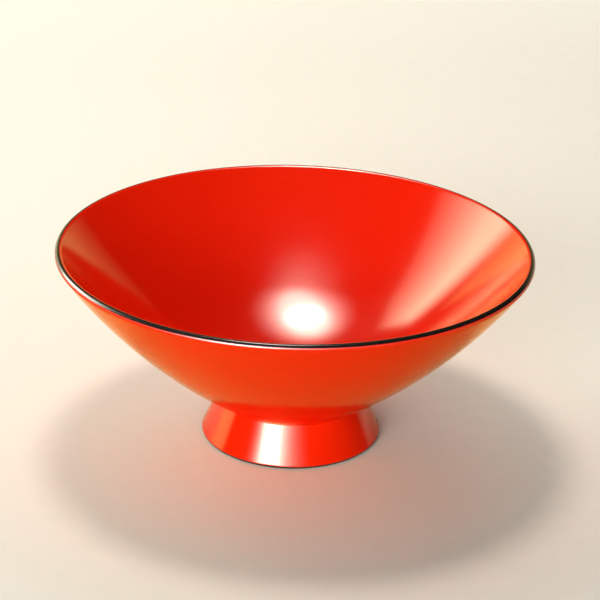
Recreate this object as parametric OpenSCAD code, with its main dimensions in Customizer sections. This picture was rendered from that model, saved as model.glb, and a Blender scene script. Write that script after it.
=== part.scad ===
// Sake cup of lacquered wood: a thin round bowl on a flared ring foot.
// The bowl and the foot are turned separately and glued at a spigot under the bowl.
// Cloth strengthens the lip, the inside bottom and the seat of the foot.
// A ground coat covers the wood and the cloth, and the finished lacquer covers the ground.
// Every layer is a true offset of one finished section, so layers share their faces.

/* [Bowl] */
// Outside diameter at the lip
rim_d = 91; // [80:0.5:104]
// Height of the whole cup
cup_h = 38.8; // [33:0.1:46]
// Radius of the curve of the outside wall, in section
wall_r = 115; // [70:1:200]
// Radius of the curve of the inside wall, in section
hollow_r = 137; // [90:1:220]
// Thickness of the wall at the lip
lip_t = 1.5; // [1.1:0.05:2]
// Thickness of the wall at the crease above the foot, square to the wall
wall_low_t = 3.6; // [2.4:0.1:5]
// Thickness of the floor from the level of the crease to the inside bottom
floor_t = 3.35; // [2.4:0.05:5]

/* [Foot] */
// Height of the foot up to the crease under the bowl
foot_h = 7.65; // [6:0.05:11]
// Diameter of the foot at the crease
foot_top_d = 28.5; // [25:0.1:34]
// Diameter of the foot at the table
foot_seat_d = 35; // [31:0.1:40]
// Thickness of the wall of the foot, square to its flank
foot_wall_t = 2.4; // [1.8:0.05:3]
// Thickness of the web between the recess under the foot and the bowl
web_t = 1.65; // [1:0.05:2.5]
// Radius of the two edges of the seat
seat_round = 0.5; // [0.4:0.05:0.8]
// Radius of the corner between the wall of the recess and its ceiling
recess_fillet = 1.5; // [0.5:0.1:2]

/* [Glue joint] */
// Diameter of the spigot under the bowl that the foot fits on
spigot_d = 15; // [10:0.1:17]
// Thickness of the glue round the spigot and under the bowl
glue_t = 0.15; // [0.1:0.01:0.3]

/* [Layers] */
// Thickness of the finished lacquer
coat_t = 0.1; // [0.06:0.01:0.13]
// Thickness of the ground coat under it
ground_t = 0.1; // [0.06:0.01:0.13]
// Thickness of the cloth under the ground coat
cloth_t = 0.12; // [0.08:0.01:0.15]

/* [Cloth] */
// Width of the lip cloth, down each side of the wall
rim_cloth_w = 5; // [2:0.1:9]
// Diameter of the round cloth at the inside bottom
base_cloth_d = 26; // [14:0.5:30]
// Height of the foot cloth up the flank and up the wall of the recess
foot_cloth_h = 2.6; // [1.2:0.1:3]

/* [Black bands] */
// Angle above the widest line of the lip at which the black starts outside
lip_band_rise = 26; // [5:1:45]
// Angle past the crown of the lip at which the black ends inside
lip_band_turn = 8; // [5:1:35]
// Angle below the flank at which the black seat band starts on the outer edge
seat_band_turn = 24; // [10:1:40]

/* [Hidden] */

vermilion = [0.86, 0.17, 0.05];
black_lacquer = [0.05, 0.04, 0.04];
turned_wood = [0.80, 0.63, 0.43];
hemp = [0.83, 0.77, 0.63];
clay_ground = [0.36, 0.27, 0.22];
rice_glue = [0.45, 0.30, 0.18];

// Straight sides of a full turn, and steps along the curves of the section
around = 180;
wall_steps = 20;
round_steps = 6;
short_steps = 3;

up = 90;
down = -90;

// Depths below the finished surface at which one layer ends and the next begins
ground_top = coat_t;
wood_top = coat_t + ground_t;
wood_under_cloth = wood_top + cloth_t;

function unit(v) = v / norm(v);
function direction(a) = [cos(a), sin(a)];
function bearing(v) = atan2(v[1], v[0]);
function left_of(v) = [-v[1], v[0]];
function arc_turn(length, radius) = length / radius * 180 / PI;
function arc(centre, radius, from, to, steps) =
    [for (i = [0:steps]) centre + radius * direction(from + (to - from) * i / steps)];
function reversed(points) = [for (i = [len(points) - 1:-1:0]) points[i]];

// One run of points out of several that follow on from each other
function joined(runs) =
    [for (k = [0:len(runs) - 1]) for (i = [(k == 0 ? 0 : 1):len(runs[k]) - 1]) runs[k][i]];

// Meeting point, left of the line from c0 to c1, of the circles round these two centres
function circles_meet(c0, r0, c1, r1) =
    let (
        span = norm(c1 - c0),
        along = (r0 * r0 - r1 * r1 + span * span) / (2 * span),
        ahead = unit(c1 - c0)
    )
    c0 + along * ahead + sqrt(r0 * r0 - along * along) * left_of(ahead);

// Outside of the bowl: one arc from the crease that runs tangent into the round of the lip
lip_r = lip_t / 2;
lip_c = [rim_d / 2 - lip_r, cup_h - lip_r];
crease = [foot_top_d / 2, foot_h];
wall_c = circles_meet(crease, wall_r, lip_c, wall_r - lip_r);
lip_out_a = bearing(lip_c - wall_c);

// Inside of the bowl: an arc tangent to the round of the lip, then a round bottom tangent to that arc
hollow_low = crease + wall_low_t * unit(wall_c - crease);
hollow_c = circles_meet(hollow_low, hollow_r, lip_c, hollow_r + lip_r);
hollow_top_a = bearing(lip_c - hollow_c);
lip_in_a = hollow_top_a + 180;
inside_z = foot_h + floor_t;
hollow_rise = hollow_c[1] - inside_z;
bottom_r = (hollow_c[0] ^ 2 + hollow_rise ^ 2 - hollow_r ^ 2) / (2 * (hollow_rise - hollow_r));
bottom_c = [0, inside_z + bottom_r];
bottom_top_a = bearing(bottom_c - hollow_c);

// Flank of the foot: straight from the crease, tangent to the outer edge of the seat
seat_out_c = [foot_seat_d / 2 - seat_round, seat_round];
flank_a = bearing(seat_out_c - crease) + asin(seat_round / norm(seat_out_c - crease));
flank_way = direction(flank_a);
flank_out_a = flank_a + 90;
flank_out = direction(flank_out_a);

// Recess under the foot: its wall is parallel to the flank
recess_h = foot_h - web_t;
seat_in_c = seat_out_c - [(foot_wall_t - 2 * seat_round) / cos(flank_out_a), 0];
recess_in_a = flank_out_a - 180;
recess_low = seat_in_c + seat_round * direction(recess_in_a);
fillet_low = recess_low + recess_fillet * direction(recess_in_a);
fillet_c = fillet_low - flank_way * (fillet_low[1] - recess_h + recess_fillet) / flank_way[1];

// Places along the section where a layer starts or ends
widest_a = 0;
lip_band_out_a = widest_a + lip_band_rise;
lip_band_in_a = up + lip_band_turn;
cloth_out_a = lip_out_a - arc_turn(rim_cloth_w, wall_r);
cloth_in_a = hollow_top_a - arc_turn(rim_cloth_w, hollow_r);
base_cloth_a = down + asin(base_cloth_d / 2 / bottom_r);
seat_band_a = flank_out_a - seat_band_turn;

// Crease at a depth below the finished surface: the flank meets the wall there
function flank_start(depth) = crease - depth * flank_out;
function crease_at(depth) =
    let (
        from_c = flank_start(depth) - wall_c,
        back = from_c * flank_way
    )
    flank_start(depth) + flank_way * (sqrt(back ^ 2 - from_c * from_c + (wall_r - depth) ^ 2) - back);
function flank_at(depth, z) =
    flank_start(depth) + flank_way * (z - flank_start(depth)[1]) / flank_way[1];
function recess_start(depth) = recess_low - depth * direction(recess_in_a);
function recess_at(depth, z) =
    recess_start(depth) + flank_way * (z - recess_start(depth)[1]) / flank_way[1];

// Stretches of the section at a depth, from the crease over the lip to the inside bottom
function wall_below_cloth(depth) =
    arc(wall_c, wall_r - depth, bearing(crease_at(depth) - wall_c), cloth_out_a, wall_steps);
function wall_on_cloth(depth) = arc(wall_c, wall_r - depth, cloth_out_a, lip_out_a, round_steps);
function lip_under_band(depth) =
    joined([
        arc(lip_c, lip_r - depth, lip_out_a, widest_a, short_steps),
        arc(lip_c, lip_r - depth, widest_a, lip_band_out_a, short_steps)
    ]);
function lip_outside(depth) = arc(lip_c, lip_r - depth, lip_band_out_a, up, round_steps);
function lip_crown(depth) = arc(lip_c, lip_r - depth, up, lip_band_in_a, short_steps);
function lip_inside(depth) = arc(lip_c, lip_r - depth, lip_band_in_a, lip_in_a, short_steps);
function hollow_on_cloth(depth) = arc(hollow_c, hollow_r + depth, hollow_top_a, cloth_in_a, round_steps);
function hollow_below_cloth(depth) = arc(hollow_c, hollow_r + depth, cloth_in_a, bottom_top_a, wall_steps);
function bottom_round(depth) = arc(bottom_c, bottom_r + depth, bottom_top_a, base_cloth_a, wall_steps);
function bottom_middle(depth) = arc(bottom_c, bottom_r + depth, base_cloth_a, down, wall_steps);

// Stretches of the foot at a depth, from the crease round the seat to the middle of the recess
function flank_edge(depth) = arc(seat_out_c, seat_round - depth, flank_out_a, seat_band_a, short_steps);
function seat_outer(depth) = arc(seat_out_c, seat_round - depth, seat_band_a, down, round_steps);
function seat_inner(depth) = arc(seat_in_c, seat_round - depth, down, recess_in_a, round_steps);
function recess_corner(depth) = arc(fillet_c, recess_fillet + depth, flank_out_a, up, round_steps);
function ceiling_middle(depth) = [0, recess_h + depth];

// A full turn of a section drawn from radius and height
module turned(section) {
    rotate_extrude($fn = around) polygon(section);
}

// A full turn of the layer between two runs along the section
module layer(outer, inner) {
    turned(concat(outer, reversed(inner)));
}

function outer_coat_run(depth) =
    joined([wall_below_cloth(depth), wall_on_cloth(depth), lip_under_band(depth)]);
function outer_ground_run(depth) = joined([outer_coat_run(depth), lip_outside(depth)]);
function lip_band_run(depth) = joined([lip_outside(depth), lip_crown(depth)]);
function inner_coat_run(depth) =
    joined([
        lip_inside(depth), hollow_on_cloth(depth), hollow_below_cloth(depth),
        bottom_round(depth), bottom_middle(depth)
    ]);
function inner_ground_run(depth) = joined([lip_crown(depth), inner_coat_run(depth)]);
function rim_cloth_run(depth) =
    joined([
        wall_on_cloth(depth), lip_under_band(depth), lip_outside(depth),
        lip_crown(depth), lip_inside(depth), hollow_on_cloth(depth)
    ]);
function seat_run(depth) = concat(seat_outer(depth), seat_inner(depth));
function foot_coat_run(depth) = concat([crease_at(depth)], flank_edge(depth));
function foot_ground_run(depth) = joined([foot_coat_run(depth), seat_run(depth)]);
function foot_cloth_run(depth) =
    concat(
        [flank_at(depth, foot_cloth_h)], joined([flank_edge(depth), seat_run(depth)]),
        [recess_at(depth, foot_cloth_h)]
    );
function recess_run(depth) =
    concat([recess_start(depth)], recess_corner(depth), [ceiling_middle(depth)]);

spigot_r = spigot_d / 2;
bore_r = spigot_r + glue_t;
bowl_base = crease_at(wood_top);
foot_top = flank_at(wood_top, bowl_base[1] - glue_t);
ceiling_z = recess_h + wood_top;

module bowl_core() {
    color(turned_wood)
        turned(concat(
            wall_below_cloth(wood_top),
            rim_cloth_run(wood_under_cloth),
            joined([hollow_below_cloth(wood_top), bottom_round(wood_top)]),
            bottom_middle(wood_under_cloth),
            [[0, ceiling_z], [spigot_r, ceiling_z], [spigot_r, bowl_base[1]]]
        ));
}

module foot_ring() {
    color(turned_wood)
        turned(concat(
            [foot_top, flank_at(wood_top, foot_cloth_h)],
            foot_cloth_run(wood_under_cloth),
            [recess_at(wood_top, foot_cloth_h)],
            recess_corner(wood_top),
            [[bore_r, ceiling_z], [bore_r, foot_top[1]]]
        ));
}

module foot_glue() {
    color(rice_glue)
        turned([
            [spigot_r, ceiling_z], [bore_r, ceiling_z], [bore_r, foot_top[1]],
            foot_top, bowl_base, [spigot_r, bowl_base[1]]
        ]);
}

module rim_cloth() {
    color(hemp) layer(rim_cloth_run(wood_top), rim_cloth_run(wood_under_cloth));
}

module base_cloth() {
    color(hemp) layer(bottom_middle(wood_top), bottom_middle(wood_under_cloth));
}

module foot_cloth() {
    color(hemp) layer(foot_cloth_run(wood_top), foot_cloth_run(wood_under_cloth));
}

module outer_ground() {
    color(clay_ground) layer(outer_ground_run(ground_top), outer_ground_run(wood_top));
}

module inner_ground() {
    color(clay_ground) layer(inner_ground_run(ground_top), inner_ground_run(wood_top));
}

module foot_ground() {
    color(clay_ground) layer(foot_ground_run(ground_top), foot_ground_run(wood_top));
}

module recess_ground() {
    color(clay_ground) layer(recess_run(ground_top), recess_run(wood_top));
}

module outer_topcoat() {
    color(vermilion) layer(outer_coat_run(0), outer_coat_run(ground_top));
}

module inner_topcoat() {
    color(vermilion) layer(inner_coat_run(0), inner_coat_run(ground_top));
}

module foot_topcoat() {
    color(vermilion) layer(foot_coat_run(0), foot_coat_run(ground_top));
}

module recess_topcoat() {
    color(vermilion) layer(recess_run(0), recess_run(ground_top));
}

module lip_band() {
    color(black_lacquer) layer(lip_band_run(0), lip_band_run(ground_top));
}

module seat_band() {
    color(black_lacquer) layer(seat_run(0), seat_run(ground_top));
}

bowl_core();
foot_ring();
foot_glue();
rim_cloth();
base_cloth();
foot_cloth();
outer_ground();
inner_ground();
foot_ground();
recess_ground();
outer_topcoat();
inner_topcoat();
foot_topcoat();
recess_topcoat();
lip_band();
seat_band();
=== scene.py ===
# %% [markdown]
# A lacquered sake cup. The real one is a wide thin bowl of turned wood on a flared ring foot,
# with cloth and ground coats under vermilion lacquer and a black lacquer lip.
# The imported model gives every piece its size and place. This lesson gives the pieces their looks:
# the coats that show are turned again as fine smooth skins, and each layer gets its own finish.

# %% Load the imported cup
import math

import bmesh
import bpy
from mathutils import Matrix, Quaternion, Vector


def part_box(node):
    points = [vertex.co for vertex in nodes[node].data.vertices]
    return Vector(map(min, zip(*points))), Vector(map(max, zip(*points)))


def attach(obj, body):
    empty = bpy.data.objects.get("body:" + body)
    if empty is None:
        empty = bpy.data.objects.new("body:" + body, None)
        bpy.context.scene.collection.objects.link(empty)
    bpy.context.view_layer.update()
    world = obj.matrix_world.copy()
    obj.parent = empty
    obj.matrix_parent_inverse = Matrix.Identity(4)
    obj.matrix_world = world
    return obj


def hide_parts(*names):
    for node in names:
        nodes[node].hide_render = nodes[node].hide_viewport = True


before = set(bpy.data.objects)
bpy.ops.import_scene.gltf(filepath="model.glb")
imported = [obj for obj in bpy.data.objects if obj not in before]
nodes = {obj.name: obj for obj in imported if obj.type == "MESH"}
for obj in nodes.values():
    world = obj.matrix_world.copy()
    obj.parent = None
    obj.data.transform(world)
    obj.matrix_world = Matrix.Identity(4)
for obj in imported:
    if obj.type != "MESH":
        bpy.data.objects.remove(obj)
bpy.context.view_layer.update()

print("nodes:", sorted(nodes))

# %% [markdown]
# The cup is round, so one section drawn from radius and height describes all of it. The line could
# be drawn by eye, but a turner works with gauges: the radius of the wall, of the hollow and of each
# small edge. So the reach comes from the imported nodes, and the curves between are such gauges.
# Lengths are in metres and angles in radians.

# %% Sizes of the section
rim_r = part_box("outer_topcoat")[1].x
cup_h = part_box("lip_band")[1].z
crease_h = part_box("outer_topcoat")[0].z
seat_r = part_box("seat_band")[1].x

coat_t = 0.0001
inside_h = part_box("inner_topcoat")[0].z + coat_t
recess_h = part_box("recess_topcoat")[1].z - coat_t

wall_curve_r = 0.115
hollow_curve_r = 0.137
lip_t = 0.0015
wall_low_t = 0.0036
crease_r = 0.01425
foot_wall_t = 0.0024
seat_round = 0.0005
recess_fillet = 0.0015
lip_band_rise = math.radians(26)
lip_band_turn = math.radians(8)
# How far the seat's black reaches up its outer round. The dark line that it draws is partly painted shade.
seat_band_turn = math.radians(24)

print(f"rim {2000 * rim_r:.1f} mm across, {1000 * cup_h:.1f} mm high")

# %% [markdown]
# Every round stretch of the section is an arc, and arcs that run smoothly into each other share a
# tangent. Two circles that touch have their centres one sum or one difference of radii apart, so
# each centre is the meeting point of two circles. That is a ruler-and-compass drawing in code, and
# three helpers are enough for it.

# %% Ruler and compass
UP = math.pi / 2
DOWN = -math.pi / 2


def bearing(v):
    """Angle of a direction in the section, from the radius axis towards up."""
    return math.atan2(v.y, v.x)


def heading(angle):
    """Unit direction in the section at that angle."""
    return Vector((math.cos(angle), math.sin(angle)))


def circles_meet(centre_a, radius_a, centre_b, radius_b):
    """Meeting point of two circles, on the left of the way from centre a to centre b."""
    span = (centre_b - centre_a).length
    ahead = (centre_b - centre_a) / span
    along = (radius_a**2 - radius_b**2 + span**2) / (2 * span)
    aside = math.sqrt(radius_a**2 - along**2)
    return centre_a + along * ahead + aside * Vector((-ahead.y, ahead.x))


# %% [markdown]
# The outside of the bowl is one arc that rises from the crease above the foot and touches the small
# circle of the lip. The hollow is an arc that touches the lip from the inside, and a third arc rounds
# out the bottom. Free curves would do for a picture, but arcs that touch stay smooth in any light.

# %% Centres of the bowl's arcs
crease = Vector((crease_r, crease_h))
lip_r = lip_t / 2
lip_c = Vector((rim_r - lip_r, cup_h - lip_r))
wall_c = circles_meet(crease, wall_curve_r, lip_c, wall_curve_r - lip_r)
lip_out_a = bearing(lip_c - wall_c)

hollow_low = crease + wall_low_t * (wall_c - crease).normalized()
hollow_c = circles_meet(hollow_low, hollow_curve_r, lip_c, hollow_curve_r + lip_r)
hollow_top_a = bearing(lip_c - hollow_c)
rise = hollow_c.y - inside_h
bottom_r = (hollow_c.x**2 + rise**2 - hollow_curve_r**2) / (2 * (rise - hollow_curve_r))
bottom_c = Vector((0, inside_h + bottom_r))
bottom_top_a = bearing(bottom_c - hollow_c)

print(f"the bottom's arc has a radius of {1000 * bottom_r:.1f} mm")

# %% [markdown]
# The flank of the foot is a straight line from the crease that touches the round of the seat. The
# wall of the recess runs parallel to it at the foot's thickness, and a fillet takes it into the
# ceiling. The real foot is turned with a straight chisel, so straight lines are right here.

# %% Centres of the foot's arcs
seat_out_c = Vector((seat_r - seat_round, seat_round))
to_seat = seat_out_c - crease
flank_a = bearing(to_seat) + math.asin(seat_round / to_seat.length)
flank_out_a = flank_a + UP
seat_in_c = seat_out_c - Vector(((foot_wall_t - 2 * seat_round) / math.cos(flank_out_a), 0))
recess_in_a = flank_out_a - math.pi
recess_low = seat_in_c + seat_round * heading(recess_in_a)
fillet_low = recess_low + recess_fillet * heading(recess_in_a)
fillet_rise = recess_h - recess_fillet - fillet_low.y
fillet_c = fillet_low + heading(flank_a) * fillet_rise / math.sin(flank_a)

print(f"the flank leans {math.degrees(flank_out_a):.1f} degrees")

# %% [markdown]
# A lathe is the right picture for a cup, and Blender's spin is a lathe. First a single vertex is
# swung about an arc's centre, which leaves the arc behind it as edges, and a straight stretch is
# drawn out by extruding the vertex. A vertex list would give the same line, but the spins say how
# it is made.

# %% Drawing a section
def start_line(place):
    """A new mesh that holds one vertex of the section, and that vertex."""
    line = bmesh.new()
    return line, line.verts.new((place.x, 0, place.y))


def draw_arc(line, tip, centre, turn, steps):
    """Swings the tip about a centre of the section, and returns the new tip."""
    swung = bmesh.ops.spin(
        line, geom=[tip], cent=(centre.x, 0, centre.y), axis=(0, -1, 0), angle=turn, steps=steps
    )
    return next(g for g in swung["geom_last"] if isinstance(g, bmesh.types.BMVert))


def draw_straight(line, tip, place, steps=1):
    """Draws the tip out to a place in equal steps, and returns the new tip."""
    stride = (Vector((place.x, 0, place.y)) - tip.co) / steps
    for _ in range(steps):
        drawn = bmesh.ops.extrude_vert_indiv(line, verts=[tip])["verts"][0]
        drawn.co = tip.co + stride
        tip = drawn
    return tip


# %% [markdown]
# Then the whole line is spun once round the axis, and the seam and the pole are merged. A spin can
# come out with its faces turned inwards, so the faces are compared with the way that the coat looks
# on the cup and turned over if need be. Last, the skin gets the thickness of a coat behind it.

# %% Turning a section
TURN_STEPS = 400
SHARP_ANGLE = math.radians(40)
MERGE_GAP = 1e-7
LOW_CORNER = 0
HIGH_CORNER = 6


def face_the_way(line, facing):
    """Turns the faces over if they look away from the given way, which is outward and up."""
    toward = 0
    for face in line.faces:
        middle = face.calc_center_median()
        radial = Vector((middle.x, middle.y, 0)).normalized()
        toward += face.calc_area() * (face.normal.dot(radial) * facing.x + face.normal.z * facing.y)
    if toward < 0:
        bmesh.ops.reverse_faces(line, faces=line.faces)


def turn_coat(line, name, node, facing):
    """Spins a section into a coat that faces the given way, and puts it in the node's place."""
    bmesh.ops.spin(
        line, geom=line.verts[:] + line.edges[:], cent=(0, 0, 0), axis=(0, 0, 1),
        angle=2 * math.pi, steps=TURN_STEPS, use_merge=True,
    )
    bmesh.ops.remove_doubles(line, verts=line.verts, dist=MERGE_GAP)
    bmesh.ops.recalc_face_normals(line, faces=line.faces)
    face_the_way(line, facing)
    bmesh.ops.solidify(line, geom=line.faces[:], thickness=coat_t)
    for face in line.faces:
        face.smooth = True
    for edge in line.edges:
        edge.smooth = edge.calc_face_angle(0) < SHARP_ANGLE
    mesh = bpy.data.meshes.new(name)
    line.to_mesh(mesh)
    line.free()
    coat = bpy.data.objects.new(name, mesh)
    bpy.context.scene.collection.objects.link(coat)
    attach(coat, "root")
    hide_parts(node)
    low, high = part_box(node)
    low_miss = (Vector(coat.bound_box[LOW_CORNER]) - low).length
    high_miss = (Vector(coat.bound_box[HIGH_CORNER]) - high).length
    miss = 1000 * max(low_miss, high_miss)
    print(f"{name}: {len(mesh.polygons)} faces, corners within {miss:.3f} mm of the packed node")
    return coat


# %% [markdown]
# The outside of the bowl is one arc from the crease above the foot, and it rolls on over the widest
# line of the lip. Vermilion lacquer is brushed on it in one go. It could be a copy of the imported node,
# but a skin turned again has finer steps and no seam, so long highlights run clean.

# %% Outside coat
WALL_STEPS = 48
LIP_STEPS = 16

crease_a = bearing(crease - wall_c)
line, tip = start_line(crease)
tip = draw_arc(line, tip, wall_c, lip_out_a - crease_a, WALL_STEPS)
draw_arc(line, tip, lip_c, lip_band_rise - lip_out_a, LIP_STEPS)
outside = turn_coat(line, "outside_lacquer", "outer_topcoat", Vector((1, -1)))

# %% [markdown]
# The black lip is painted last, with the side of a fine brush, along the crown of the edge. It starts
# a little above the widest line, where the outside coat ends, and stops just inside the crown. A
# painted line in the red's material could show it too, but its own piece can be lifted off.

# %% Black lip
lip_band_in_a = UP + lip_band_turn
line, tip = start_line(lip_c + lip_r * heading(lip_band_rise))
draw_arc(line, tip, lip_c, lip_band_in_a - lip_band_rise, LIP_STEPS)
black_lip = turn_coat(line, "black_lip", "lip_band", Vector((0, 1)))

# %% [markdown]
# Inside, the lacquer rolls off the lip, runs down the hollow wall and rounds out the bottom. The last
# arc ends on the axis, where all the turned copies of its end vertex merge into one pole. A flat disc
# would also close the bottom, but its edge would show in the gloss.

# %% Inside coat
EDGE_STEPS = 8

line, tip = start_line(lip_c + lip_r * heading(lip_band_in_a))
tip = draw_arc(line, tip, lip_c, hollow_top_a + math.pi - lip_band_in_a, EDGE_STEPS)
tip = draw_arc(line, tip, hollow_c, bottom_top_a - hollow_top_a, WALL_STEPS)
tip = draw_arc(line, tip, bottom_c, DOWN - bottom_top_a, WALL_STEPS)
tip.co.x = 0
inside = turn_coat(line, "inside_lacquer", "inner_topcoat", Vector((-1, 1)))

# %% [markdown]
# The flank of the foot is straight in section, so its skin is a cone that ends on the small round
# of the seat. One row of faces would be enough for the shape. It still gets a few rows, because
# faces that are close to square shade more evenly.

# %% Foot coat
FLANK_STEPS = 16

seat_band_a = flank_out_a - seat_band_turn
line, tip = start_line(crease)
tip = draw_straight(line, tip, seat_out_c + seat_round * heading(flank_out_a), FLANK_STEPS)
draw_arc(line, tip, seat_out_c, seat_band_a - flank_out_a, EDGE_STEPS)
foot = turn_coat(line, "foot_lacquer", "foot_topcoat", Vector((1, 0)))

# %% [markdown]
# The seat is the ring that the cup stands on. Its two edges are rounded over. Its black lacquer is the
# seat's own coat, and it reaches up the outer round far enough to show as a dark line along the foot's
# lower edge: that line is painted shade, which stands for the thin shadow where the foot meets the table.
# It is drawn in the same way: an arc, a short straight stretch on the table, and an arc up into the recess.

# %% Seat
# Painted shade: the black reaches up the seat's outer round to draw the dark line under the foot.
line, tip = start_line(seat_out_c + seat_round * heading(seat_band_a))
tip = draw_arc(line, tip, seat_out_c, DOWN - seat_band_a, EDGE_STEPS)
tip = draw_straight(line, tip, seat_in_c + seat_round * heading(DOWN))
draw_arc(line, tip, seat_in_c, recess_in_a - DOWN, EDGE_STEPS)
seat = turn_coat(line, "black_seat_and_shadow_line", "seat_band", Vector((0, -1)))

# %% [markdown]
# Under the foot is a shallow recess: a wall parallel to the flank, a soft corner and a flat ceiling.
# Nobody sees it while the cup stands, but a cup is turned over to be looked at, so it is finished
# with the same care as the rest.

# %% Recess coat
line, tip = start_line(recess_low)
tip = draw_straight(line, tip, fillet_c + recess_fillet * heading(flank_out_a), FLANK_STEPS)
tip = draw_arc(line, tip, fillet_c, UP - flank_out_a, EDGE_STEPS)
draw_straight(line, tip, Vector((0, recess_h)), FLANK_STEPS)
recess = turn_coat(line, "recess_lacquer", "recess_topcoat", Vector((-0.5, -1)))

# %% [markdown]
# Finishes are node trees, and a sum of nodes is easier to read as a sum. The small class below wraps
# a socket, so that `1 - mask` adds its Math node by itself. Nodes could be placed and linked one by
# one, but then the sum is hard to find among the links.

# %% Shader values that add and multiply
class Value:
    """A number on its way through a node tree."""

    def __init__(self, tree, socket):
        self.tree = tree
        self.socket = socket

    def math(self, operation, *numbers):
        """A Math node that works on the given values and numbers."""
        node = self.tree.nodes.new("ShaderNodeMath")
        node.operation = operation
        for slot, number in zip(node.inputs, numbers):
            feed(self.tree, slot, number)
        return Value(self.tree, node.outputs[0])

    def __add__(self, other):
        return self.math("ADD", self, other)

    def __sub__(self, other):
        return self.math("SUBTRACT", self, other)

    def __mul__(self, other):
        return self.math("MULTIPLY", self, other)

    def __radd__(self, other):
        return self.math("ADD", other, self)

    def __rsub__(self, other):
        return self.math("SUBTRACT", other, self)

    def __rmul__(self, other):
        return self.math("MULTIPLY", other, self)


def feed(tree, slot, number):
    """Links a value to a socket, or sets the socket's own number."""
    if isinstance(number, Value):
        tree.links.new(number.socket, slot)
    else:
        slot.default_value = number


# %% [markdown]
# A finish is a material with one Principled shader. Any node in it comes from one method that takes
# the node's type, its settings and its sockets, and the methods after it are short names for the
# nodes that lacquer, wood and cloth need most. Patterns read Object coordinates, so that they stay
# on their piece. A number that is the same all over goes straight to the shader's own socket.

# %% A finish and its nodes
MIX_MASK = 0
MIX_FIRST_COLOUR = 6
MIX_SECOND_COLOUR = 7
MIX_COLOUR_OUT = 2


class Finish:
    """A material whose Principled shader is fed from values."""

    def __init__(self, name):
        self.material = bpy.data.materials.new(name)
        self.material.use_nodes = True
        self.tree = self.material.node_tree
        self.shader = self.tree.nodes["Principled BSDF"]
        self.place = self.node("ShaderNodeTexCoord", {}, {}, "Object")

    def node(self, kind, settings, sockets, output=0):
        """Any node: its type, its settings, its sockets, and which output is wanted."""
        node = self.tree.nodes.new(kind)
        for key, setting in settings.items():
            setattr(node, key, setting)
        for key, number in sockets.items():
            feed(self.tree, node.inputs[key], number)
        return Value(self.tree, node.outputs[output])

    def noise(self, scale, detail=2.0, place=None):
        """Soft random value from 0 to 1, with features about one metre over scale in size."""
        sockets = {"Vector": place or self.place, "Scale": scale, "Detail": detail}
        return self.node("ShaderNodeTexNoise", {}, sockets, "Fac")

    def stretch(self, scale):
        """The place, with each axis stretched."""
        return self.node("ShaderNodeMapping", {}, {"Vector": self.place, "Scale": scale}, "Vector")

    def axis(self, letter):
        """One coordinate of the place."""
        return self.node("ShaderNodeSeparateXYZ", {}, {"Vector": self.place}, letter)

    def rise(self, number, start, end, top=1.0):
        """A soft step from 0 up to the top, while a value goes from start to end."""
        sockets = {"Value": number, "From Min": start, "From Max": end, "To Max": top}
        return self.node("ShaderNodeMapRange", {"interpolation_type": "SMOOTHSTEP"}, sockets)

    def blend(self, mask, first, second):
        """A colour between two, by a mask from 0 to 1."""
        sockets = {MIX_MASK: mask, MIX_FIRST_COLOUR: first, MIX_SECOND_COLOUR: second}
        return self.node("ShaderNodeMix", {"data_type": "RGBA"}, sockets, MIX_COLOUR_OUT)

    def wear(self, **sockets):
        """Sets or links sockets of the Principled shader."""
        for key, number in sockets.items():
            feed(self.tree, self.shader.inputs[key.replace("_", " ")], number)

    def bump(self, height, depth):
        """Relief of that depth, in metres, as the shader's normal."""
        bumped = self.node("ShaderNodeBump", {}, {"Height": height, "Distance": depth}, "Normal")
        self.wear(Normal=bumped)


def paint(finish, slot, *pieces):
    """Gives pieces a finish. The slot is not used."""
    for piece in pieces:
        piece.data.materials.clear()
        piece.data.materials.append(finish.material)
    print(f"{finish.material.name}: {', '.join(piece.name for piece in pieces)}")


# %% [markdown]
# Vermilion lacquer is cinnabar in a clear amber lacquer. It is smooth and deep rather than
# mirror-sharp, and its red drifts a little where the brush laid it thicker. One glossy red would look
# like plastic, so the amber film is the shader's coat on top of the red. Its index is 1.05, so that
# it reflects almost nothing and only warms what passes through, more so at a slant. Hands and lips
# rub the edge of the cup: there the film wears off, and the surface turns a little duller.

# %% Vermilion lacquer
DRIFT_SCALE = 38
STROKE_SCALE = 9
STROKE_STRETCH = (14, 14, 90)
STROKE_RELIEF = 0.0000004
RED_SWING = 0.04
GREEN_SWING = 0.2
THIN_BLUE = 0.0002
THICK_BLUE = 0.0004
RUB_SPAN = 0.2 * lip_r


def vermilion_lacquer(name, red, green, amber, index, lip_rub=0.0):
    """A red lacquer, by its red and green, the tint of its film, its index and how far the lip is rubbed."""
    finish = Finish(name)
    drift = finish.noise(DRIFT_SCALE)
    stroke = finish.noise(STROKE_SCALE, 3.0, finish.stretch(STROKE_STRETCH))
    shade = 0.65 * drift + 0.35 * stroke
    thin = (red - RED_SWING, (1 - GREEN_SWING) * green, THIN_BLUE, 1)
    thick = (red + RED_SWING, (1 + GREEN_SWING) * green, THICK_BLUE, 1)
    rubbed = 0.0
    if lip_rub:
        rubbed = lip_rub * finish.rise(finish.axis("Z"), lip_c.y, lip_c.y + RUB_SPAN)
    finish.wear(
        Base_Color=finish.blend(shade, thin, thick),
        Roughness=0.12 + 0.04 * stroke + 0.18 * rubbed,
        IOR=index,
        Coat_Weight=1.0 - rubbed,
        Coat_IOR=1.05,
        Coat_Roughness=0.14,
        Coat_Tint=amber,
    )
    finish.bump(stroke, STROKE_RELIEF)
    return finish
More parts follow.
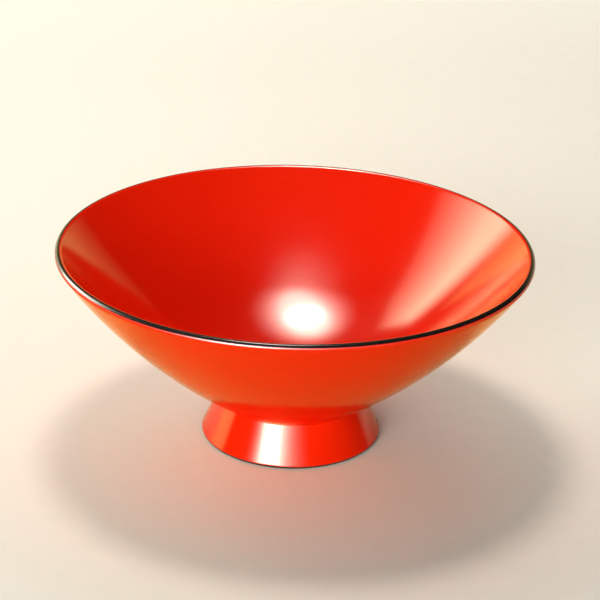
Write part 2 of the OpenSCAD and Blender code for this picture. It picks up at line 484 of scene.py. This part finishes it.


# %% [markdown]
# The three red surfaces are not quite the same on a used cup. The outside has the most amber film, the
# foot was coated on its own and stays a clearer red, and the inside has a harder gloss. The inside is
# also painted a darker red than the outside and foot: that is painted shade, which makes up for the
# strong lamp that lights the bowl. One finish for all would be simpler, but the film and gloss differ.

# %% Red coats
outside_red = vermilion_lacquer(
    "vermilion_outside", red=0.83, green=0.011, amber=(0.98, 0.82, 0.27, 1), index=1.48, lip_rub=1.0
)
foot_red = vermilion_lacquer(
    "vermilion_foot", red=0.83, green=0.015, amber=(1, 0.95, 0.80, 1), index=1.50
)
# Painted shade: a darker red than the outside and foot, to make up for the strong lamp inside the bowl.
inside_red_painted_shade = vermilion_lacquer(
    "vermilion_inside", red=0.67, green=0.010, amber=(1, 0.96, 0.86, 1), index=1.60
)
paint(outside_red, "vermilion", outside, recess)
paint(foot_red, "vermilion", foot)
paint(inside_red_painted_shade, "vermilion", inside)

# %% [markdown]
# Black lacquer is polished hard and mirrors the windows as a thin bright line. A pure black would look
# like a gap in the cup, so a fine noise mixes in the slight brown that black lacquer shows on an edge.

# %% Black lacquer
black = Finish("black_lacquer")
polish = black.noise(900, 3.0)
black.wear(
    Base_Color=black.blend(polish, (0.004, 0.0035, 0.003, 1), (0.013, 0.009, 0.007, 1)),
    Roughness=0.18 + 0.08 * polish,
    IOR=1.55,
)
paint(black, "black", black_lip, seat)

# %% [markdown]
# The hidden layers get their finishes too, for a learner who lifts the coats off. The core is wood,
# turned across the grain. Its fibres and rings are the same noise at two sizes, stretched along one
# axis, because a ring texture round the cup's own axis would be wrong for a blank cut from a plank.

# %% Turned wood
wood = Finish("turned_wood")
fibre = wood.noise(1, 4.0, wood.stretch((60, 900, 900)))
ring = wood.noise(1, 2.0, wood.stretch((8, 260, 260)))
wood.wear(
    Base_Color=wood.blend(0.6 * ring + 0.4 * fibre, (0.42, 0.24, 0.11, 1), (0.72, 0.50, 0.28, 1)),
    Roughness=0.55 + 0.2 * fibre,
)
wood.bump(fibre, 0.00003)
paint(wood, "wood", nodes["bowl_core"], nodes["foot_ring"])

# %% [markdown]
# Hemp cloth keeps the thin lip, the bottom and the seat from splitting. Its plain weave is two sets of
# bands at right angles, and a noise gives the threads their slubs. Modelled threads would be too many
# faces for a cloth that lies under two coats.

# %% Hemp cloth
THREAD_SCALE = 380.0

hemp = Finish("hemp_cloth")
thread = {"wave_type": "BANDS", "wave_profile": "SIN"}
spacing = {"Vector": hemp.place, "Scale": THREAD_SCALE}
warp = hemp.node("ShaderNodeTexWave", {**thread, "bands_direction": "X"}, spacing)
weft = hemp.node("ShaderNodeTexWave", {**thread, "bands_direction": "Y"}, spacing)
slub = hemp.noise(700)
weave = 0.4 * warp + 0.4 * weft + 0.2 * slub
hemp.wear(
    Base_Color=hemp.blend(weave, (0.30, 0.22, 0.13, 1), (0.68, 0.58, 0.40, 1)),
    Roughness=0.75 + 0.15 * slub,
)
hemp.bump(weave, 0.00005)
paint(hemp, "hemp", nodes["rim_cloth"], nodes["base_cloth"], nodes["foot_cloth"])

# %% [markdown]
# The ground is burnt clay stirred into raw lacquer, a dull dark brown with fine specks. It is laid on
# with a spatula and stoned flat, so a fine noise for colour, roughness and a very low relief is enough.

# %% Clay ground
clay = Finish("clay_ground")
speck = clay.noise(1800, 4.0)
clay.wear(
    Base_Color=clay.blend(speck, (0.06, 0.035, 0.025, 1), (0.16, 0.10, 0.07, 1)),
    Roughness=0.6 + 0.25 * speck,
)
clay.bump(speck, 0.00001)
layers = ["outer_ground", "inner_ground", "foot_ground", "recess_ground"]
paint(clay, "ground", *[nodes[layer] for layer in layers])

# %% [markdown]
# Rice paste with raw lacquer is the glue that holds the foot on the spigot. It dries to a shiny brown
# with darker clots, so colour and roughness follow one noise.

# %% Rice glue
glue = Finish("rice_glue")
clot = glue.noise(1200, 3.0)
glue.wear(
    Base_Color=glue.blend(clot, (0.10, 0.045, 0.02, 1), (0.22, 0.11, 0.05, 1)),
    Roughness=0.35 + 0.3 * clot,
)
paint(glue, "glue", nodes["foot_glue"])

# %% [markdown]
# The cup stands on a plain cream board. It is one large disc, a hair below the seat so that the two
# faces don't flicker. As part of the stage it isn't exported with the cup.

# %% Board
BOARD_R = 4.0
BOARD_GAP = 0.00002
BOARD_SIDES = 96

disc = bmesh.new()
bmesh.ops.create_circle(disc, cap_ends=True, segments=BOARD_SIDES, radius=BOARD_R)
bmesh.ops.translate(disc, verts=disc.verts, vec=(0, 0, -BOARD_GAP))
floor_mesh = bpy.data.meshes.new("floor")
disc.to_mesh(floor_mesh)
disc.free()
floor = bpy.data.objects.new("floor", floor_mesh)
bpy.context.scene.collection.objects.link(floor)
print("floor at", floor_mesh.vertices[0].co.z)

# %% [markdown]
# The board's paper-like tooth is a slight change of colour. Its colour also holds painted light: it is
# painted paler towards the back, as if more light fell there, and less red near the cup, which tones
# down the red cast in the cup's shadow. Far from the cup no lamp reaches it, and the gloss would mirror a
# dark room. More lamps would flatten the cup, so the far board glows a little by itself, though it is no
# lamp: that glow is painted light, only for the camera, for gloss and through glass. Near the cup it
# doesn't glow, so the shadow stays as deep as the lamps make it.

# %% Cream board
PAINTED_GLOW_FROM = 0.22
PAINTED_GLOW_TO = 0.60
PAINTED_GLOW_PEAK = 0.5
PAINTED_LIGHT_FROM = -0.06
PAINTED_LIGHT_TO = 0.30

board = Finish("cream_board")
tooth = board.noise(220, 4.0)
# Painted light: this mask makes the board paler towards the back and less red near the cup.
painted_light_mask = board.rise(board.axis("Y"), PAINTED_LIGHT_FROM, PAINTED_LIGHT_TO)
reach = board.node("ShaderNodeVectorMath", {"operation": "LENGTH"}, {"Vector": board.place}, "Value")
# Painted light: the far board glows by itself for camera, gloss and glass rays, though it is no lamp.
painted_glow_mask = board.rise(reach, PAINTED_GLOW_FROM, PAINTED_GLOW_TO, PAINTED_GLOW_PEAK)
camera_ray = board.node("ShaderNodeLightPath", {}, {}, "Is Camera Ray")
glossy_ray = board.node("ShaderNodeLightPath", {}, {}, "Is Glossy Ray")
clear_ray = board.node("ShaderNodeLightPath", {}, {}, "Is Transmission Ray")
painted_glow = painted_glow_mask * (camera_ray + glossy_ray + clear_ray)
board.wear(
    Emission_Color=board.blend(painted_glow, (0, 0, 0, 1), (1.0, 0.93, 0.82, 1)),
    Emission_Strength=1.0,
    Base_Color=board.blend(0.6 * painted_light_mask + 0.4 * tooth, (0.70, 0.68, 0.59, 1), (0.86, 0.75, 0.66, 1)),
    Roughness=0.75 + 0.1 * tooth,
    Specular_IOR_Level=0.2,
)
board.material.cycles.emission_sampling = "NONE"
floor.data.materials.append(board.material)
print(f"the board glows from {PAINTED_GLOW_FROM} m outwards")

# %% [markdown]
# Lacquer mirrors what is bright in the room, so the room is drawn with soft boxes: flat lights that
# face the cup. Each is given by the angles that it spans as the cup sees it, because they decide where
# its mirror image lies, and by its radiance, which decides how bright the image is. Blender wants a
# power in watts, and that is radiance times pi times area. A box can be for gloss only or for matt
# surfaces only, as a photographer does with flags and screens.

# %% Soft boxes
CUP_MIDDLE = Vector((0, 0, cup_h / 2))
BOTH = (True, True)
GLOSS = (False, True)
FILL = (True, False)


def soft_box(
    name, azimuth, elevation, distance, radiance, colour, seen=BOTH, shape="RECTANGLE", only=None
):
    """A flat light that faces the cup and spans two ranges of angles, in degrees, as the cup sees it.

    Azimuth 0 is the camera's side, and negative is to its left. Seen tells whether matt surfaces and
    gloss get the light, and only is a collection that alone gets it."""
    turn = math.radians(sum(azimuth) / 2)
    lift = math.radians(sum(elevation) / 2)
    way = Vector((math.cos(lift) * math.sin(turn), -math.cos(lift) * math.cos(turn), math.sin(lift)))
    round_box = shape == "ELLIPSE"
    across = math.radians(azimuth[1] - azimuth[0]) * (1 if round_box else math.cos(lift))
    upright = math.radians(elevation[1] - elevation[0])
    data = bpy.data.lights.new(name, "AREA")
    data.shape = shape
    data.size = 2 * distance * math.tan(across / 2)
    data.size_y = 2 * distance * math.tan(upright / 2)
    area = data.size * data.size_y * (math.pi / 4 if round_box else 1)
    data.energy = radiance * math.pi * area
    data.color = colour
    light = bpy.data.objects.new(name, data)
    light.location = CUP_MIDDLE + distance * way
    light.rotation_mode = "QUATERNION"
    light.rotation_quaternion = (-way).to_track_quat("-Z", "Y")
    light.visible_camera = False
    light.visible_diffuse, light.visible_glossy = seen
    if only:
        light.light_linking.receiver_collection = only
    bpy.context.scene.collection.objects.link(light)
    print(f"{name}: {data.energy:.2f} W at {tuple(round(c, 2) for c in light.location)}")


# %% [markdown]
# The edge of a window is soft in lacquer, because the light in a real room falls off round it. A box
# with a picture on it could show that. Here plain boxes lie round one another, each a little behind
# the last: where they overlap their light adds up, so the middle is bright and the rim fades out.

# %% Boxes that fade outwards
BOX_GAP = 0.004


def fading_box(
    name, inner, outer, distance, radiance, fade, count, colour, shape="RECTANGLE", only=None
):
    """Boxes for the gloss, from the inner azimuth and elevation to the outer, each dimmer by the fade."""
    for i in range(count):
        share = i / (count - 1)
        azimuth, elevation = [
            [start + share * (end - start) for start, end in zip(narrow, wide)]
            for narrow, wide in zip(inner, outer)
        ]
        soft_box(
            f"{name}_{i + 1}", azimuth, elevation, distance + BOX_GAP * i, radiance * fade**i,
            colour, seen=GLOSS, shape=shape, only=only,
        )


# %% [markdown]
# In a real room one coat can catch a light that another doesn't, because something stands between.
# Modelled furniture could do that. Light linking is simpler: a light with a receiver collection
# lights only what is in it. Each of these collections holds one coat.

# %% Collections of one coat
def only_for(piece, name):
    """A collection that holds one piece, for lights that reach nothing else."""
    alone = bpy.data.collections.new(name)
    alone.objects.link(piece)
    return alone


inside_only = only_for(inside, "inside_only")
outside_only = only_for(outside, "outside_only")
black_only = only_for(black_lip, "black_only")
print("coats with lights of their own:", inside.name, outside.name, black_lip.name)

# %% [markdown]
# A warm lamp hangs almost overhead. It gives the cup its round shadow on the board, and its mirror
# image is the white spot in the bowl. The glow round that spot is a halo of fading boxes just behind
# the lamp. It is kept to the inside, or it would turn the crown of the black lip grey.

# %% Lamp and halo
LAMPLIGHT = (1.0, 0.775, 0.735)
DAYLIGHT = (1.0, 0.98, 0.95)

soft_box(
    "overhead_lamp", azimuth=(-168.6, -154.6), elevation=(68.7, 82.7),
    distance=0.364, radiance=36, colour=LAMPLIGHT, shape="ELLIPSE",
)
fading_box(
    "overhead_halo", inner=((-171, -152), (62, 92.5)), outer=((-182, -141), (54, 102)),
    distance=0.366, radiance=7, fade=0.6, count=6, colour=DAYLIGHT, shape="ELLIPSE", only=inside_only,
)

# %% [markdown]
# The bright strip on the foot and the pale bands in the bowl are windows: one in front and one at the
# left. A lower part of the front window lights the wall of the bowl, which looks down at the table.
# If the foot mirrored it too, the crease would get a bright spot, so it is kept to the outside. The
# black lip has a window of its own, which draws the thin silver line along it.

# %% Windows in the gloss
WARM_DAYLIGHT = (1.0, 0.90, 0.68)

fading_box(
    "front_window", inner=((-39.5, -12), (9, 29)), outer=((-56, 22), (5, 33)),
    distance=0.80, radiance=18, fade=0.5, count=6, colour=DAYLIGHT,
)
fading_box(
    "low_window", inner=((-38, -10), (1, 13)), outer=((-46, 17), (0, 15)),
    distance=0.83, radiance=30, fade=0.6, count=4, colour=DAYLIGHT, only=outside_only,
)
fading_box(
    "side_window", inner=((-142, -121), (16, 31)), outer=((-137, -96), (19, 45.5)),
    distance=0.80, radiance=1.75, fade=1, count=5, colour=WARM_DAYLIGHT,
)
soft_box(
    "lip_window", azimuth=(-133, -100), elevation=(6, 31),
    distance=0.84, radiance=11, colour=DAYLIGHT, seen=GLOSS, only=black_only,
)

# %% [markdown]
# Between and behind the windows the lacquer mirrors the walls of the room, as a dim warm sheen near
# the edges of the bowl. Large weak boxes near the height of the table stand for them.

# %% Warm walls in the gloss
WALL_LIGHT = (1.0, 0.80, 0.32)

soft_box(
    "warm_wall", azimuth=(-160, -92), elevation=(0, 20),
    distance=0.85, radiance=1.2, colour=WALL_LIGHT, seen=GLOSS,
)
soft_box(
    "warm_wall_low", azimuth=(-124, -90), elevation=(-2, 8),
    distance=0.86, radiance=2.4, colour=WALL_LIGHT, seen=GLOSS,
)
fading_box(
    "back_wall", inner=((140, 220), (0, 12)), outer=((132, 228), (0, 24)),
    distance=0.87, radiance=0.3, fade=1, count=3, colour=WALL_LIGHT,
)

# %% [markdown]
# The shadow is not black, because the windows and the sky lighten it. Those fills are for matt surfaces
# only, so their strength can be set without a change in the gloss. They are cool against the warm lamp,
# which also balances the red that the bowl throws down on the board. The front fills stand far off, or
# they would burn a white patch into the board.

# %% Fills for matt surfaces
SKYLIGHT = (0.80, 0.98, 0.97)
COOL_SHADE = (0.80, 0.98, 0.87)

soft_box(
    "left_fill", azimuth=(-141, -98), elevation=(20, 46),
    distance=0.80, radiance=2.1, colour=COOL_SHADE, seen=FILL,
)
soft_box(
    "back_left_fill", azimuth=(-155, -115), elevation=(30, 55),
    distance=0.60, radiance=3.2, colour=COOL_SHADE, seen=FILL,
)
soft_box(
    "back_fill", azimuth=(155, 205), elevation=(30, 55),
    distance=0.60, radiance=3.0, colour=DAYLIGHT, seen=FILL,
)
soft_box(
    "front_left_fill", azimuth=(-41, -13), elevation=(9, 29),
    distance=1.60, radiance=10.6, colour=SKYLIGHT, seen=FILL,
)
soft_box(
    "front_fill", azimuth=(-24, 10), elevation=(2, 22),
    distance=1.20, radiance=8.4, colour=SKYLIGHT, seen=FILL,
)

# %% [markdown]
# What is left is the light that comes from everywhere in a dim room. It is the world's background, at
# a low strength and hidden from the gloss, because a grey sky in the lacquer would take its depth.

# %% Dim room
ROOM_STRENGTH = 0.16

world = bpy.data.worlds.new("dim_room")
world.use_nodes = True
background = world.node_tree.nodes["Background"]
background.inputs["Color"].default_value = (*SKYLIGHT, 1)
background.inputs["Strength"].default_value = ROOM_STRENGTH
world.cycles_visibility.glossy = False
bpy.context.scene.world = world
print(f"room light at {ROOM_STRENGTH}")

# %% [markdown]
# The camera looks down at about 24 degrees through a long lens, tilted by a degree and a half as a
# hand-held one is. A wide lens close up would show the same cup, but a long one keeps the rim's
# ellipse calm, so the bowl doesn't bulge at the viewer.

# %% Camera
SENSOR = 36.0
LENS = 124.2
camera_back = 0.36473
camera_high = 0.18696
camera_yaw = math.radians(0.182)
camera_pitch = math.radians(23.613)
camera_roll = math.radians(1.629)

camera_data = bpy.data.cameras.new("camera")
camera_data.sensor_width = SENSOR
camera_data.lens = LENS
camera = bpy.data.objects.new("camera", camera_data)
camera.location = (0, -camera_back, camera_high)
gaze = Vector((
    math.sin(camera_yaw) * math.cos(camera_pitch),
    math.cos(camera_yaw) * math.cos(camera_pitch),
    -math.sin(camera_pitch),
))
camera.rotation_mode = "QUATERNION"
camera.rotation_quaternion = gaze.to_track_quat("-Z", "Y") @ Quaternion((0, 0, 1), camera_roll)
bpy.context.scene.collection.objects.link(camera)
bpy.context.scene.camera = camera
bpy.context.scene.view_settings.view_transform = "Standard"
print(f"camera {camera.location.length:.3f} m from the foot")
